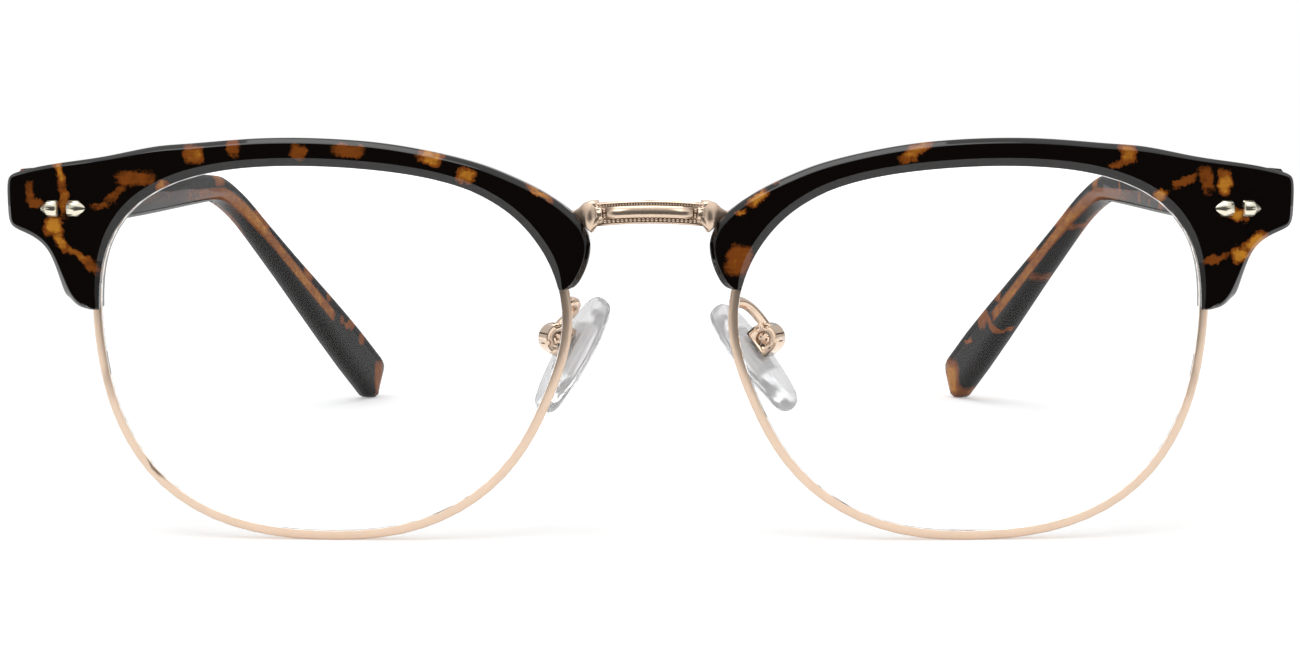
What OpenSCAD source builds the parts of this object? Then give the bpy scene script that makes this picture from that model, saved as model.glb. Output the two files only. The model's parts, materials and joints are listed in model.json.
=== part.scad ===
// Browline glasses. X runs to the wearer's left, Y back to the ears, Z up.
// The rims and the temple tips rest on Z = 0. Sizes are in millimetres.

/* [Lenses] */
// Width of each lens at its widest
lens_w = 51.2; // [46:0.2:56]
// Height of each lens at its tallest
lens_h = 39.8; // [37.8:0.2:41.8]
// Gap between the two lenses at the nose
bridge_gap = 18.5; // [16:0.5:22]
// Radius of the curve that the lenses and the front follow
front_curve = 130; // [100:5:250]
// Angle by which each half of the front turns back
wrap_angle = 3; // [1:0.5:5]
// Thickness of each lens
lens_t = 1.5; // [1.3:0.1:1.7]
// Height of the ridge round the lens that snaps into the rim
lens_ridge = 0.5; // [0.35:0.05:0.55]

/* [Rims] */
// Width of the rim wire seen from the front
rim_face = 1.0; // [0.9:0.05:1.3]
// Depth of the rim wire from front to back
rim_depth = 1.8; // [1.6:0.1:2.2]
// Width of the slit where each rim closes round its lens
rim_slit = 0.3; // [0.2:0.1:0.6]
// Radius of the closing block at the slit
block_r = 1.0; // [0.9:0.05:1.1]
// Length of each half of the closing block
block_len = 1.4; // [1.2:0.1:1.8]
// Radius of the screw that closes each rim
rim_screw_r = 0.45; // [0.4:0.05:0.5]

/* [Brow] */
// Thickness of the plastic brow from front to back
brow_depth = 4.2; // [3.9:0.1:4.8]
// Plastic in front of the rim, from the brow's front face to the wire
brow_front = 1.2; // [1.1:0.05:1.4]
// How far the end piece reaches past the lens
end_reach = 10.2; // [9.5:0.1:12]
// Height of the end piece at its outer side
end_h = 5.8; // [5.4:0.1:6.4]
// How far the end piece's top corner lies below the top of the lens
end_fall = 1.2; // [0.6:0.1:1.8]
// Width of the leg beside the lens
leg_w = 4.1; // [3.8:0.1:4.5]
// How far the leg hangs below the top of the lens
leg_drop = 16.1; // [15.2:0.1:17]
// Height of the brow above the lens at its middle
brow_rise = 2.5; // [2.2:0.1:3.2]
// Width of the brow's rounded end beside the nose
nose_end_w = 4.8; // [4.5:0.1:5.1]
// Width of the polished bevel on the brow's upper edge
top_bevel = 0.6; // [0.4:0.05:0.8]
// Width of the polished bevel on the brow's lens side
lens_bevel = 0.85; // [0.5:0.05:0.95]

/* [Bridge] */
// Height of the bridge's beaded panel
panel_h = 2.5; // [2.2:0.1:2.8]
// Distance from the centre line to each end of the panel
panel_half = 5.8; // [5.4:0.1:6]
// Thickness of the bridge from front to back
panel_t = 1.6; // [1.4:0.1:1.8]
// Height of the panel's middle above the lens centre
panel_rise = 14.5; // [14:0.1:15]
// Radius of the panel's gentle arch
arch_r = 60; // [45:5:120]
// Beads in the lower row
low_beads = 22; // [18:1:24]
// Beads in the upper row
top_beads = 34; // [28:1:38]
// Thickness of the bridge's foot behind the brow
foot_t = 1.1; // [0.9:0.05:1.2]
// Radius of the shank of the screw that holds the foot to the brow
brow_screw_r = 0.4; // [0.3:0.05:0.5]

/* [Hinges] */
// Radius of the hinge barrel
barrel_r = 1.4; // [1.3:0.05:1.5]
// Height of one hinge knuckle
knuckle_h = 1.0; // [0.9:0.05:1.05]
// Gap between neighbouring knuckles
knuckle_gap = 0.05; // [0.03:0.01:0.08]
// Radius of the hinge screw's shank
hinge_pin_r = 0.6; // [0.5:0.05:0.7]
// Clearance of a turning pin in its hole, on the radius
pin_gap = 0.05; // [0.03:0.01:0.08]
// Thickness of the hinge leaves
leaf_t = 0.9; // [0.7:0.05:1]
// Height of the hinge leaves
leaf_h = 4.6; // [4.2:0.1:5]
// Distance of the hinge axis behind the brow's back face
axis_back = 1.7; // [1.6:0.05:2]
// Length of each rivet head
rivet_len = 2.4; // [2.2:0.05:2.6]
// Height of each rivet head
rivet_h = 1.9; // [1.6:0.1:2.2]
// Gap between the two rivet heads
rivet_gap = 1.2; // [1:0.1:1.5]
// Radius of the rivet shanks
shank_r = 0.45; // [0.35:0.05:0.5]

/* [Temples] */
// Length of the straight part of the temple, hinge to ear bend
temple_straight = 82.5; // [78:0.5:88]
// Radius of the ear bend
ear_bend_r = 34; // [26:1:40]
// Angle by which the tip drops behind the ear
ear_drop = 32.5; // [29:0.5:38]
// Angle by which the straight part leans inward
lean_in = 1.6; // [0.6:0.2:3.4]
// Angle by which the tip turns inward
tip_in = 16.5; // [12:0.5:20]
// Thickness of the temple at the hinge
temple_t = 3.8; // [3.6:0.1:4]
// Height of the temple at the hinge
temple_h = 6.8; // [6.6:0.1:7.2]
// Height of the temple where it is slimmest, before the ear
slim_h = 3.5; // [3.2:0.1:4.2]
// Thickness of the temple where it is slimmest
slim_t = 3.5; // [3:0.1:3.7]
// Height of the paddle tip
tip_h = 7.8; // [6.6:0.1:8.4]
// Thickness of the core wire inside the temple
core_t = 1.0; // [0.8:0.1:1.2]
// Height of the core wire
core_h = 1.4; // [1.2:0.1:1.6]

/* [Nose pads] */
// Length of each pad
pad_len = 14.5; // [13:0.1:15.5]
// Width of each pad
pad_w = 7.4; // [6.8:0.1:8]
// Thickness of each pad
pad_t = 2.4; // [2.2:0.1:2.8]
// Distance of the left pad's screw from the centre line
pad_out_left = 12.8; // [11.8:0.1:13.2]
// Distance of the right pad's screw from the centre line
pad_out_right = 10.4; // [10:0.1:11.4]
// Height of the pads' screws above the lens centre
pad_rise = 0.4; // [-0.4:0.1:0.8]
// Angle by which the left pad leans in at the top
pad_lean_left = 40; // [34:1:42]
// Angle by which the right pad leans in at the top
pad_lean_right = 31; // [26:1:35]
// Angle by which the pads open towards the face
pad_splay = 25; // [20:1:30]
// Radius of the box that holds the pad
box_r = 1.7; // [1.6:0.05:1.9]
// Radius of the pad arm's wire
arm_r = 0.6; // [0.5:0.05:0.7]
// Radius of the pad screw's shank
pad_screw_r = 0.45; // [0.4:0.05:0.5]

/* [Hidden] */
$fn = 48;

// Fit clearances
seat_gap = 0.05;      // pieces that seat in one another
joint_gap = 0.15;     // the temple's end against the brow
swing_gap = 0.25;     // room round the knuckles as the temple folds

// Fullness of the lens outline against an ellipse, every 15 degrees from the temple side, over the top
RIM_SHAPE = [0.983, 1.032, 1.119, 1.158, 1.101, 1.027, 0.991, 0.999, 1.049, 1.092, 1.070, 1.040,
  1.000, 0.960, 0.975, 1.014, 1.048, 1.058, 1.040, 1.060, 1.076, 1.058, 1.013, 0.985];
rim_steps = 72;
lock_at = 19;         // place of the closing block on the rim, in degrees
arm_at = 167;         // place of the pad arm's root on the rim, in degrees

// Colours
TORTOISE = [0.16, 0.08, 0.04];
GOLD = [0.85, 0.70, 0.58];
PALE_GOLD = [0.88, 0.82, 0.66];
CLEAR = [0.85, 0.90, 0.92, 0.4];

// Ease from 0 to 1 between two limits
function ease(x, lo, hi) = let (t = min(max((x - lo) / (hi - lo), 0), 1)) t * t * (3 - 2 * t);

// Point on a closed smooth curve through a list of values
function closed_spline(list, t) =
  let (n = len(list), i = floor(t), f = t - i,
       a = list[(i + n - 1) % n], b = list[i % n], c = list[(i + 1) % n], d = list[(i + 2) % n])
  (pow(1 - f, 3) * a + (3 * f * f * f - 6 * f * f + 4) * b
   + (-3 * f * f * f + 3 * f * f + 3 * f + 1) * c + f * f * f * d) / 6;

// Point on an open smooth curve between points b and c, with a and d beside them
function open_spline(a, b, c, d, f) =
  let (ta = pow(norm([b.x - a.x, b.y - a.y]), 0.5), tb = pow(norm([c.x - b.x, c.y - b.y]), 0.5),
       tc = pow(norm([d.x - c.x, d.y - c.y]), 0.5),
       m1 = (c - b) + tb * ((b - a) / ta - (c - a) / (ta + tb)),
       m2 = (c - b) + tb * ((d - c) / tc - (d - b) / (tb + tc)))
  (2 * f * f * f - 3 * f * f + 1) * b + (f * f * f - 2 * f * f + f) * m1
  + (3 * f * f - 2 * f * f * f) * c + (f * f * f - f * f) * m2;

// Edge of the lens at an angle, seen from the front, with the lens centre as the origin
function lens_edge(a) =
  let (k = closed_spline(RIM_SHAPE, ((a % 360 + 360) % 360) / 15))
  [k * cos(a) * lens_w / 2, k * sin(a) * lens_h / 2];
function edge_out(a) =
  let (d = lens_edge(a + 1) - lens_edge(a - 1))
  [d.y, -d.x] / norm(d);
// Point beside the lens edge, a distance outward from it
function beside(a, out) = lens_edge(a) + out * edge_out(a);

// The rim's inner and outer faces, counted outward from the lens edge
rim_in = -lens_ridge;
rim_out = rim_face - lens_ridge;
rim_set = brow_front + rim_depth / 2;

// Centre of the left lens, and the floor under the rims
lens_x = bridge_gap / 2 + lens_w / 2;
lens_z = -min([for (i = [0 : rim_steps - 1]) beside(i * 360 / rim_steps, rim_out).y]);

// The front's curve: how far a point of the brow's front face lies back
end_top = lens_h / 2 - end_fall;
end_mid = end_top - end_h / 2;
side_x = lens_w / 2;
function front_y(p) =
  let (u = min(p.x, side_x), flat = ease(p.x, side_x + 0.5, side_x + 5))
  (u * u + (1 - flat) * p.y * p.y + flat * end_mid * end_mid) / (2 * front_curve)
  + (p.x - u) * side_x / front_curve + p.x * tan(wrap_angle);
end_angle = atan(side_x / front_curve + tan(wrap_angle));

// Hinge axis of the left side
outer_x = side_x + end_reach;
barrel_in = 0.45;     // how far the hinge axis lies inside the temple's inner face
hinge_u = outer_x - temple_t + barrel_in;
hinge_x = lens_x + hinge_u;
hinge_y = front_y([hinge_u, end_mid]) + brow_depth + axis_back / cos(end_angle);
hinge_z = lens_z + end_mid;

// A closed solid through rings of points; cap_parts splits the end faces into convex pieces
module skin(rings, closed = false, cap_parts = []) {
  n = len(rings[0]);
  m = len(rings);
  last = closed ? m - 1 : m - 2;
  walls = [for (i = [0 : last], j = [0 : n - 1])
    let (a = i * n + j, b = i * n + (j + 1) % n,
         c = ((i + 1) % m) * n + (j + 1) % n, d = ((i + 1) % m) * n + j)
    each [[a, b, c], [a, c, d]]];
  parts = len(cap_parts) > 0 ? cap_parts : [[for (j = [0 : n - 1]) j]];
  caps = closed ? [] : [for (part = parts)
    each [[for (k = [len(part) - 1 : -1 : 0]) part[k]], [for (k = part) (m - 1) * n + k]]];
  polyhedron([for (ring = rings) each ring], concat(walls, caps), convexity = 12);
}

// A point of the front, seen from the lens centre, at a depth behind the brow's front face
function in_front(p, w) = [lens_x + p.x, front_y(p) + w, lens_z + p.y];

// Left pieces are drawn as they are and right pieces are mirrored
module side(left) {
  mirror([left ? 0 : 1, 0, 0]) translate([0, -mid_y, 0]) children();
}
module hinge_frame(turn) {
  translate([hinge_x, hinge_y, hinge_z]) rotate([0, 0, turn]) children();
}

// Brow. Each row: place on the rim in degrees, the outer edge there, and the two bevels
function top_row(a, rise, lens_side) = concat([a], beside(a, rise), [top_bevel, lens_side]);
leg_x = side_x + leg_w;
leg_z = lens_h / 2 - leg_drop;
end_low = end_top - end_h;
BROW_ROWS = [
  [11, side_x + 1.2, leg_z, 0.5, 0.3],
  [12, leg_x - 1.7, leg_z + 0.15, 0.8, 0.3],
  [13.5, leg_x - 0.5, leg_z + 1.1, 1.0, 0.35],
  [15.5, leg_x, leg_z + 2.2, 0.9, 0.4],
  [19, leg_x + 0.5, leg_z + 4, 0.6, 0.45],
  [23, leg_x + 1.2, end_low - 3.1, 0.5, 0.5],
  [26, outer_x - 3.9, end_low - 1.8, 0.5, 0.55],
  [28, outer_x - 2.4, end_low - 0.9, 0.5, 0.6],
  [29.5, outer_x - 0.7, end_low - 0.3, 0.45, 0.6],
  [30.5, outer_x, end_low + 0.4, 0.45, 0.65],
  [32.5, outer_x, end_mid, 0.45, 0.7],
  [34.5, outer_x, end_top - 0.6, 0.45, 0.7],
  [36, outer_x - 0.7, end_top, 0.4, 0.75],
  [39, outer_x - 4.2, end_top + 0.75, 0.4, 0.8],
  [46, side_x - 1.5, end_top + 1.8, 0.45, lens_bevel],
  top_row(53, brow_rise + 1.45, lens_bevel),
  top_row(60, brow_rise + 0.5, lens_bevel),
  top_row(75, brow_rise + 0.05, lens_bevel),
  top_row(90, brow_rise, lens_bevel),
  top_row(105, brow_rise - 0.05, lens_bevel),
  top_row(120, brow_rise - 0.1, lens_bevel),
  top_row(128, brow_rise + 0.15, lens_bevel),
  top_row(135, brow_rise + 0.6, lens_bevel),
  top_row(142, nose_end_w - 0.8, lens_bevel),
  top_row(149, nose_end_w, lens_bevel),
  top_row(154, nose_end_w - 0.2, lens_bevel),
  top_row(158, nose_end_w - 1.4, 0.7),
  top_row(161, nose_end_w - 2.6, 0.5),
  top_row(163, nose_end_w - 3.5, 0.35)];
brow_step = 2.6;      // longest step between two sections of the brow
edge_round = 0.4;     // rounding of the brow's back edges
groove_gap = 0.15;    // room outside the wire in the brow's groove

// The rows with the curve between them filled in
brow_line = let (n = len(BROW_ROWS)) concat(
  [for (i = [0 : n - 2])
    let (b = BROW_ROWS[i], c = BROW_ROWS[i + 1],
         a = i > 0 ? BROW_ROWS[i - 1] : b + (b - c), d = i < n - 2 ? BROW_ROWS[i + 2] : c + (c - b),
         steps = max(1, round(norm([c[1] - b[1], c[2] - b[2]]) / brow_step)),
         pa = [a[1], a[2]], pb = [b[1], b[2]], pc = [c[1], c[2]], pd = [d[1], d[2]])
    for (s = [0 : steps - 1])
      let (f = s / steps)
      [b[0] + f * (c[0] - b[0]), open_spline(pa, pb, pc, pd, f),
       b[3] + f * (c[3] - b[3]), b[4] + f * (c[4] - b[4])]],
  [let (z = BROW_ROWS[n - 1]) [z[0], [z[1], z[2]], z[3], z[4]]]);

function brow_ring(i) =
  let (n = len(brow_line), row = brow_line[i], a = row[0], out = row[1], ob = row[2], ib = row[3],
       next = brow_line[min(i + 1, n - 1)][1], last = brow_line[max(i - 1, 0)][1],
       d = (next - last) / norm(next - last), inward = [-d.y, d.x],
       lip = beside(a, rim_in), face_in = beside(a, rim_in + ib), face_out = out + ob * inward,
       back_in = beside(a, rim_in + edge_round), back_out = out + edge_round * inward,
       floor_p = beside(a, rim_out + groove_gap),
       g0 = brow_front - seat_gap, g1 = brow_front + rim_depth + seat_gap)
  [in_front(lip, ib), in_front(face_in, 0), in_front((face_in + face_out) / 2, 0),
   in_front(face_out, 0), in_front(out, ob), in_front(out, brow_depth - edge_round),
   in_front(back_out, brow_depth), in_front((back_in + back_out) / 2, brow_depth),
   in_front(back_in, brow_depth), in_front(lip, brow_depth - edge_round),
   in_front(lip, g1), in_front(floor_p, g1), in_front(floor_p, g0), in_front(lip, g0)];

module brow() {
  difference() {
    skin([for (i = [len(brow_line) - 1 : -1 : 0]) brow_ring(i)],
      cap_parts = [[0, 1, 2, 3, 4, 12, 13], [4, 5, 11, 12], [5, 6, 7, 8, 9, 10, 11]]);
    block_place() {
      cylinder(h = 2 * block_len + rim_slit + 2 * seat_gap, r = block_r + seat_gap, center = true);
      translate([-block_r - seat_gap, 0, -block_len - rim_slit / 2 - seat_gap])
        cube([2 * (block_r + seat_gap), brow_depth, 2 * block_len + rim_slit + 2 * seat_gap]);
    }
    hinge_frame(end_angle) {
      translate([leaf_from - seat_gap, -axis_back - leaf_sink, -recess_h / 2])
        cube([leaf_to - leaf_from + 2 * seat_gap, leaf_sink + axis_back, recess_h]);
      for (x = rivet_x)
        translate([x, 0, rivet_z]) rotate([90, 0, 0])
          cylinder(h = axis_back + 2 * brow_depth, r = shank_r + seat_gap);
      rivets(seat_gap, $fn = 24);
    }
    foot(seat_gap);
    brow_screw_hole(seat_gap);
  }
}

// Eyewire: a V-grooved wire bent round the lens, its two ends joined by the closing block
wire_round = 0.25;
groove_w = lens_ridge + 0.1;
slit_angle = 360 * rim_slit / 2 / (3.14159 * (lens_w + lens_h) / 2);
function wire_ring(a) =
  let (h = rim_depth / 2)
  [for (s = [[rim_out, wire_round - h], [rim_out, h - wire_round], [rim_out - wire_round, h],
             [rim_in, h], [rim_in, groove_w], [seat_gap, 0], [rim_in, -groove_w], [rim_in, -h],
             [rim_out - wire_round, -h]])
    in_front(beside(a, s.x), rim_set + s.y)];

// Frame of the closing block, with Z along the rim
block_out = rim_out + block_r - 0.15;
module block_place() {
  p = in_front(beside(lock_at, block_out), rim_set);
  t = edge_out(lock_at);
  translate(p) rotate([0, -atan2(t.y, t.x), 0]) children();
}

module eyewire() {
  from = lock_at - slit_angle;
  turn = 2 * slit_angle - 360;
  difference() {
    union() {
      skin([for (i = [0 : rim_steps]) wire_ring(from + turn * i / rim_steps)],
        cap_parts = [[1, 2, 3, 4, 5], [5, 6, 7, 8, 0], [0, 1, 5]]);
      block_place() for (s = [-1, 1])
        translate([0, 0, s * (block_len + rim_slit) / 2])
          cylinder(h = block_len, r = block_r, center = true);
    }
    block_place() cylinder(h = 4 * block_len, r = rim_screw_r + seat_gap, center = true);
  }
}

module rim_screw() {
  block_place() {
    translate([0, 0, -block_len - rim_slit / 2 + 0.1])
      cylinder(h = 2 * block_len + rim_slit - 0.2, r = rim_screw_r);
  }
}

// Lens: curved front and back faces and a ridge round the edge
lens_rings = [1, 0.7, 0.4];
function lens_ring(share, w, out) =
  [for (i = [0 : rim_steps - 1])
    let (a = i * 360 / rim_steps) in_front(beside(a, out) * share, rim_set + w)];
module lens() {
  h = lens_t / 2;
  face = rim_in - seat_gap;
  tip = lens_ridge + face - rim_in;
  rings = concat([for (s = [len(lens_rings) - 1 : -1 : 0]) lens_ring(lens_rings[s], -h, face)],
    [lens_ring(1, -tip, face), lens_ring(1, 0, 0), lens_ring(1, tip, face)],
    [for (s = lens_rings) lens_ring(s, h, face)]);
  n = rim_steps;
  m = len(rings);
  walls = [for (i = [0 : m - 2], j = [0 : n - 1])
    let (a = i * n + j, b = i * n + (j + 1) % n, c = (i + 1) * n + (j + 1) % n, d = (i + 1) * n + j)
    each [[a, b, c], [a, c, d]]];
  poles = [in_front([0, 0], rim_set - h), in_front([0, 0], rim_set + h)];
  fans = [for (j = [0 : n - 1])
    each [[n * m, (j + 1) % n, j], [n * m + 1, (m - 1) * n + j, (m - 1) * n + (j + 1) % n]]];
  polyhedron(concat([for (r = rings) each r], poles), concat(walls, fans), convexity = 4);
}

// Bridge: an arched panel with two rows of beads, and a shoulder and foot at each end
panel_y = front_y([panel_half + 0.2 - lens_x, panel_rise]) - 0.3;
panel_z = lens_z + panel_rise;
row_half = panel_half - 0.9;
low_step = 2 * row_half / (low_beads - 1);
top_step = 2 * row_half / (top_beads - 1);
low_bead_r = 0.46 * low_step;
top_bead_r = 0.46 * top_step;
row_low = -0.82;      // height of the lower row of beads on the panel
row_top = 0.88;       // height of the upper row
end_beads = 2;        // beads between the rows at each end
bead_seat = 0.25;     // depth of the channel that the beads stand in
bead_room = 0.04;
module arch(angle) {
  translate([0, panel_y, panel_z - arch_r]) rotate([-90, 0, 0]) rotate([0, 0, -90 - angle / 2])
    rotate_extrude(angle = angle, $fn = 360) translate([arch_r, 0]) children();
}
module panel_profile() {
  h = panel_h / 2;
  lip = 0.12;
  difference() {
    polygon([[-h, 0.35], [-h + 0.15, lip], [-0.52, lip], [-0.4, 0.02], [-0.2, -0.04], [0.1, -0.04],
      [0.32, 0.02], [0.44, lip], [h - 0.15, lip], [h, 0.35],
      [h, panel_t - 0.3], [h - 0.3, panel_t], [-h + 0.3, panel_t], [-h, panel_t - 0.3]]);
    channel(row_low, low_bead_r);
    channel(row_top, top_bead_r);
  }
}
module channel(z, r) {
  translate([z - r - bead_room, -1]) square([2 * (r + bead_room), 1 + bead_seat]);
}
module on_arch(along, z) {
  translate([0, panel_y + bead_seat, panel_z - arch_r]) rotate([0, along / arch_r * 180 / PI, 0])
    translate([0, 0, arch_r + z]) children();
}
module bead(r) {
  rotate([90, 0, 0]) rotate_extrude($fn = 16)
    polygon([[0, -0.2], [r, -0.2], [r, 0.02], [0.88 * r, 0.5 * r], [0.55 * r, 0.84 * r],
      [0.2 * r, 0.96 * r], [0, 0.96 * r]]);
}
module bead_row(count, step, r, z) {
  for (i = [0 : count - 1]) on_arch((i - (count - 1) / 2) * step, z) bead(r);
}
module end_pocket() {
  w = 2 * (low_bead_r + bead_room);
  on_arch(row_half, row_low) translate([-w / 2, -1 - bead_seat, 0])
    cube([w, 1 + bead_seat, row_top - row_low]);
}
module end_column() {
  gap = (row_top - row_low + low_bead_r - top_bead_r) / (end_beads + 1);
  for (i = [1 : end_beads]) on_arch(row_half, row_low + i * gap) bead(low_bead_r);
}

// Rings of the shoulder and foot: place from the centre line, way back from the brow's front face,
// heading in plan, thickness, bottom and top from the panel's middle
FOOT_ROWS = [
  [panel_half - 0.3, -0.3 + panel_t / 2, 0, panel_t, -panel_h / 2, panel_h / 2],
  [panel_half + 0.45, -0.2 + panel_t / 2, 15, panel_t - 0.1, -2.2, panel_h / 2],
  [panel_half + 1.1, 1.1, 50, 1.3, -1.5, 0.95],
  [panel_half + 1.7, 2.1, 60, 1.2, -1.2, 0.4],
  [panel_half + 2.3, 3.0, 45, foot_t, -1.5, 0.1],
  [panel_half + 3.2, 3.6, 8, foot_t, -1.9, 0.1],
  [panel_half + 4.5, 3.6, 0, foot_t, -2.1, 0],
  [panel_half + 5.7, 3.6, 0, foot_t, -2.0, -0.2]];
function foot_ring(row, gap) =
  let (u = row[0] - lens_x, h = row[3] / 2 + gap, lo = row[4] - gap, hi = row[5] + gap, c = 0.3,
       s = sin(row[2]), k = cos(row[2]))
  [for (q = [[-h, lo + c], [-h, hi - c], [c - h, hi], [h - c, hi], [h, hi - c], [h, lo + c],
             [h - c, lo], [c - h, lo]])
    let (dx = -q.x * s, dy = q.x * k)
    in_front([u + dx, panel_rise + q.y], row[1] + dy)];
module foot(gap) {
  skin([for (row = FOOT_ROWS) foot_ring(row, gap)]);
}
foot_screw_x = panel_half + 3.3;
foot_screw_drop = 0.9;
module brow_screw_hole(gap) {
  p = in_front([foot_screw_x - lens_x, panel_rise - foot_screw_drop], brow_depth);
  translate(p) rotate([90, 0, 0]) {
    translate([0, 0, -0.2]) cylinder(h = 0.7 + gap, r = 2 * brow_screw_r + gap);
    cylinder(h = 2.6 + gap, r = brow_screw_r + gap);
  }
}
module bridge() {
  angle = 2 * panel_half / arch_r * 180 / PI;
  color(GOLD) translate([0, -mid_y, 0]) {
    difference() {
      arch(angle) panel_profile();
      for (m = [0, 1]) mirror([m, 0, 0]) end_pocket();
    }
    bead_row(low_beads, low_step, low_bead_r, row_low);
    bead_row(top_beads, top_step, top_bead_r, row_top);
    for (m = [0, 1]) mirror([m, 0, 0]) {
      end_column();
      difference() {
        foot(0);
        brow_screw_hole(seat_gap);
      }
    }
  }
}
module brow_screw() {
  p = in_front([foot_screw_x - lens_x, panel_rise - foot_screw_drop], brow_depth);
  translate(p) rotate([90, 0, 0]) difference() {
    union() {
      cylinder(h = 0.5, r = 2 * brow_screw_r);
      cylinder(h = 2.5, r = brow_screw_r);
    }
    translate([-1, -0.1, -0.1]) cube([2, 0.2, 0.3]);
  }
}

// Front hinge leaf, rivets and screw, drawn round the hinge axis
rivet_z = -1.0;
rivet_mid = -4.8;     // middle of the gap between the two heads
rivet_root = 0.9;     // from a head's blunt end to its shank
rivet_x = [rivet_mid + rivet_gap / 2 + rivet_root, rivet_mid - rivet_gap / 2 - rivet_root];
rivet_face = -axis_back - brow_depth * cos(end_angle);
leaf_sink = 0.4;
leaf_from = rivet_x[1] - 1.1;
leaf_to = -1.0;
knuckle_root = 0.9;   // where the knuckles stand on the leaf
barrel_h = 5 * knuckle_h + 4 * knuckle_gap;
recess_h = max(leaf_h, barrel_h) + 2 * seat_gap;
function knuckle_z(i) = -barrel_h / 2 + i * (knuckle_h + knuckle_gap);
module front_hinge() {
  leaf_y = -axis_back - leaf_sink + seat_gap;
  hinge_frame(end_angle) difference() {
    union() {
      translate([leaf_from, leaf_y, -leaf_h / 2]) cube([leaf_to - leaf_from, leaf_t, leaf_h]);
      for (i = [0, 2, 4]) translate([0, 0, knuckle_z(i)]) {
        cylinder(h = knuckle_h, r = barrel_r);
        translate([leaf_to - knuckle_root, leaf_y + seat_gap, 0])
          cube([knuckle_root, axis_back + leaf_sink - 0.1, knuckle_h]);
      }
    }
    cylinder(h = 2 * barrel_h, r = hinge_pin_r + pin_gap, center = true);
    translate([0, 0, barrel_h / 2 - screw_head_h])
      cylinder(h = barrel_h, r = screw_head_r + pin_gap);
    for (x = rivet_x)
      translate([x, 0, rivet_z]) rotate([90, 0, 0])
        cylinder(h = 2 * brow_depth, r = shank_r + seat_gap);
  }
}
screw_head_r = hinge_pin_r + 0.35;
screw_head_h = 0.45;
module hinge_screw() {
  hinge_frame(end_angle) difference() {
    union() {
      translate([0, 0, 0.1 - barrel_h / 2]) cylinder(h = barrel_h - 0.15, r = hinge_pin_r);
      translate([0, 0, barrel_h / 2 - screw_head_h + seat_gap])
        cylinder(h = screw_head_h - 0.1, r = screw_head_r);
    }
    translate([-0.15, -2, barrel_h / 2 - 0.25]) cube([0.3, 4, 1]);
  }
}
// Head of a rivet: a rounded bar with one pointed end, half sunk in the brow
module rivet_head(gap) {
  r = rivet_h / 2 + gap;
  translate([-rivet_root - gap, 0.3, 0]) rotate([0, 90, 0]) rotate_extrude()
    polygon([[0, 0], [r - 0.1, 0], [r, 0.12], [r, rivet_len * 0.5], [0.15 + gap, rivet_len + 2 * gap],
      [0, rivet_len + 2 * gap]]);
}
module rivets(gap) {
  for (i = [0, 1]) translate([rivet_x[i], rivet_face, rivet_z]) mirror([i, 0, 0]) rivet_head(gap);
}
module front_rivets() {
  back = -axis_back - leaf_sink + seat_gap + leaf_t;
  hinge_frame(end_angle) {
    rivets(0);
    for (x = rivet_x) translate([x, rivet_face + 0.3, rivet_z]) rotate([-90, 0, 0])
      cylinder(h = back - rivet_face - 0.3, r = shank_r);
  }
}

// Temple hinge leaf and its pins, drawn round the hinge axis along the temple
inner_x = -barrel_in;
leaf_y0 = 3.0;
leaf_len = 7.5;
pin_y = [leaf_y0 + 1.6, leaf_y0 + 5.6];
module temple_hinge() {
  leaf_x = inner_x + leaf_sink - seat_gap - leaf_t;
  hinge_frame(lean_in) difference() {
    union() {
      translate([leaf_x, leaf_y0, -leaf_h / 2]) cube([leaf_t, leaf_len, leaf_h]);
      for (i = [1, 3]) translate([0, 0, knuckle_z(i)]) {
        cylinder(h = knuckle_h, r = barrel_r);
        translate([leaf_x, 0, 0]) cube([leaf_t, leaf_y0 + 0.1, knuckle_h]);
      }
    }
    cylinder(h = 2 * barrel_h, r = hinge_pin_r + pin_gap, center = true);
    for (y = pin_y) translate([leaf_x - 0.1, y, 0]) rotate([0, 90, 0])
      cylinder(h = 4, r = shank_r + seat_gap);
  }
}
module temple_pins() {
  leaf_x = inner_x + leaf_sink - seat_gap - leaf_t;
  hinge_frame(lean_in)
    for (y = pin_y) translate([leaf_x, y, 0]) rotate([0, 90, 0])
      cylinder(h = leaf_t + 0.6, r = shank_r);
}

// Temple path: straight, round the ear bend, then down to the floor
mid_x = inner_x + temple_t / 2;
arc_len = ear_bend_r * ear_drop * PI / 180;
function pitch(s) = ear_drop * min(max((s - temple_straight) / arc_len, 0), 1);
function yaw(s) = (tip_in - lean_in) * ease(s, temple_straight, temple_straight + arc_len + 3);
drop_rough = (hinge_z - ear_bend_r * (1 - cos(ear_drop)) - tip_h / 2 * cos(ear_drop)) / sin(ear_drop);
path_step = 0.5;
// Places along the path, from the hinge, as running sums of short steps
function path_points(total) =
  let (n = ceil(total / path_step))
  [for (i = 0, p = [mid_x, 0, 0]; i <= n; i = i + 1,
        s = (i - 0.5) * path_step,
        p = p + path_step * [-sin(yaw(s)) * cos(pitch(s)), cos(yaw(s)) * cos(pitch(s)),
          -sin(pitch(s))]) p];
temple_rough = temple_straight + arc_len + drop_rough;
PATH = path_points(temple_rough + 6);
function path_at(s) = let (i = max(0, floor(s / path_step)), f = s / path_step - i)
  PATH[i] * (1 - f) + PATH[i + 1] * f;

// Height and thickness of the temple at a place along it
slim_at = temple_straight + 15;
function temple_high(s) =
  s < slim_at ? temple_h + (slim_h - temple_h) * ease(s, 18, slim_at)
  : slim_h + (tip_h - slim_h) * ease(s, slim_at, temple_straight + arc_len + 50);
function temple_thick(s) = temple_t + (slim_t - temple_t) * ease(s, 16, slim_at);

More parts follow.
